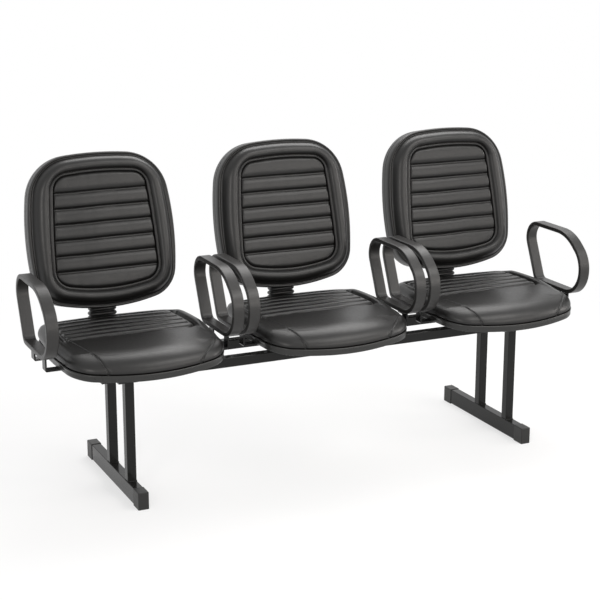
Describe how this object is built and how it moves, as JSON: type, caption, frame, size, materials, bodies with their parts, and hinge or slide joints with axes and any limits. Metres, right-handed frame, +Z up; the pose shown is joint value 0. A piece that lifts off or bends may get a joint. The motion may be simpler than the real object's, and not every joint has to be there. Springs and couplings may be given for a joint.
{
  "type": "beam seating",
  "caption": "Beam seating for waiting rooms: upholstered seats with channelled cushions, sprung backs and loop arms on twin steel beams with T-shaped floor legs.",
  "frame": {"origin": "on the floor, under the middle of the whole object's box", "axes": "+X along the beams towards the sitter's left (the right of a viewer in front), +Y from the front of the seats to their backs, +Z up"},
  "size_m": [1.83, 0.582, 0.9749],
  "materials": {
    "painted_steel": "gloss",
    "black_plastic": "satin",
    "arm_plastic": "satin",
    "leatherette": "satin",
    "bellows_rubber": "satin",
    "plywood": "matte",
    "zinc_fasteners": "satin"
  },
  "bodies": {
    "root": {"front_beam": "painted_steel", "rear_beam": "painted_steel", "head_plates": "painted_steel", "beam_end_plugs": "black_plastic", "head_bolts": "zinc_fasteners", "left_foot_tube": "painted_steel", "left_front_column": "painted_steel", "left_rear_column": "painted_steel", "left_foot_cap_front": "black_plastic", "left_foot_cap_rear": "black_plastic", "right_foot_tube": "painted_steel", "right_front_column": "painted_steel", "right_rear_column": "painted_steel", "right_foot_cap_front": "black_plastic", "right_foot_cap_rear": "black_plastic", "place_1_seat_cushion": "leatherette", "place_1_seat_board": "plywood", "place_1_seat_trim": "black_plastic", "place_1_seat_channels": "painted_steel", "place_1_seat_screws": "zinc_fasteners", "place_1_right_arm": "arm_plastic", "place_1_left_arm": "arm_plastic", "place_1_right_arm_brackets": "painted_steel", "place_1_left_arm_brackets": "painted_steel", "place_1_back_blade": "painted_steel", "place_1_back_bellows": "bellows_rubber", "place_2_seat_cushion": "leatherette", "place_2_seat_board": "plywood", "place_2_seat_trim": "black_plastic", "place_2_seat_channels": "painted_steel", "place_2_seat_screws": "zinc_fasteners", "place_2_right_arm": "arm_plastic", "place_2_left_arm": "arm_plastic", "place_2_right_arm_brackets": "painted_steel", "place_2_left_arm_brackets": "painted_steel", "place_2_back_blade": "painted_steel", "place_2_back_bellows": "bellows_rubber", "place_3_seat_cushion": "leatherette", "place_3_seat_board": "plywood", "place_3_seat_trim": "black_plastic", "place_3_seat_channels": "painted_steel", "place_3_seat_screws": "zinc_fasteners", "place_3_right_arm": "arm_plastic", "place_3_left_arm": "arm_plastic", "place_3_right_arm_brackets": "painted_steel", "place_3_left_arm_brackets": "painted_steel", "place_3_back_blade": "painted_steel", "place_3_back_bellows": "bellows_rubber"},
    "back_1": {"place_1_back_cushion": "leatherette", "place_1_back_board": "plywood", "place_1_back_shell": "black_plastic", "place_1_back_screws": "zinc_fasteners"},
    "back_2": {"place_2_back_cushion": "leatherette", "place_2_back_board": "plywood", "place_2_back_shell": "black_plastic", "place_2_back_screws": "zinc_fasteners"},
    "back_3": {"place_3_back_cushion": "leatherette", "place_3_back_board": "plywood", "place_3_back_shell": "black_plastic", "place_3_back_screws": "zinc_fasteners"}
  },
  "joints": [
    {"name": "back_1_flex", "type": "hinge", "parent": "root", "child": "back_1", "pos_m": [-0.615, 0.22499, 0.448], "axis": [-1, 0, 0], "range_deg": [-2, 8], "stiffness_Nm_per_rad": 1300, "deforming": ["place_1_back_blade", "place_1_back_bellows"]},
    {"name": "back_2_flex", "type": "hinge", "parent": "root", "child": "back_2", "pos_m": [0, 0.22499, 0.448], "axis": [-1, 0, 0], "range_deg": [-2, 8], "stiffness_Nm_per_rad": 1300, "deforming": ["place_2_back_blade", "place_2_back_bellows"]},
    {"name": "back_3_flex", "type": "hinge", "parent": "root", "child": "back_3", "pos_m": [0.615, 0.22499, 0.448], "axis": [-1, 0, 0], "range_deg": [-2, 8], "stiffness_Nm_per_rad": 1300, "deforming": ["place_3_back_blade", "place_3_back_bellows"]}
  ]
}
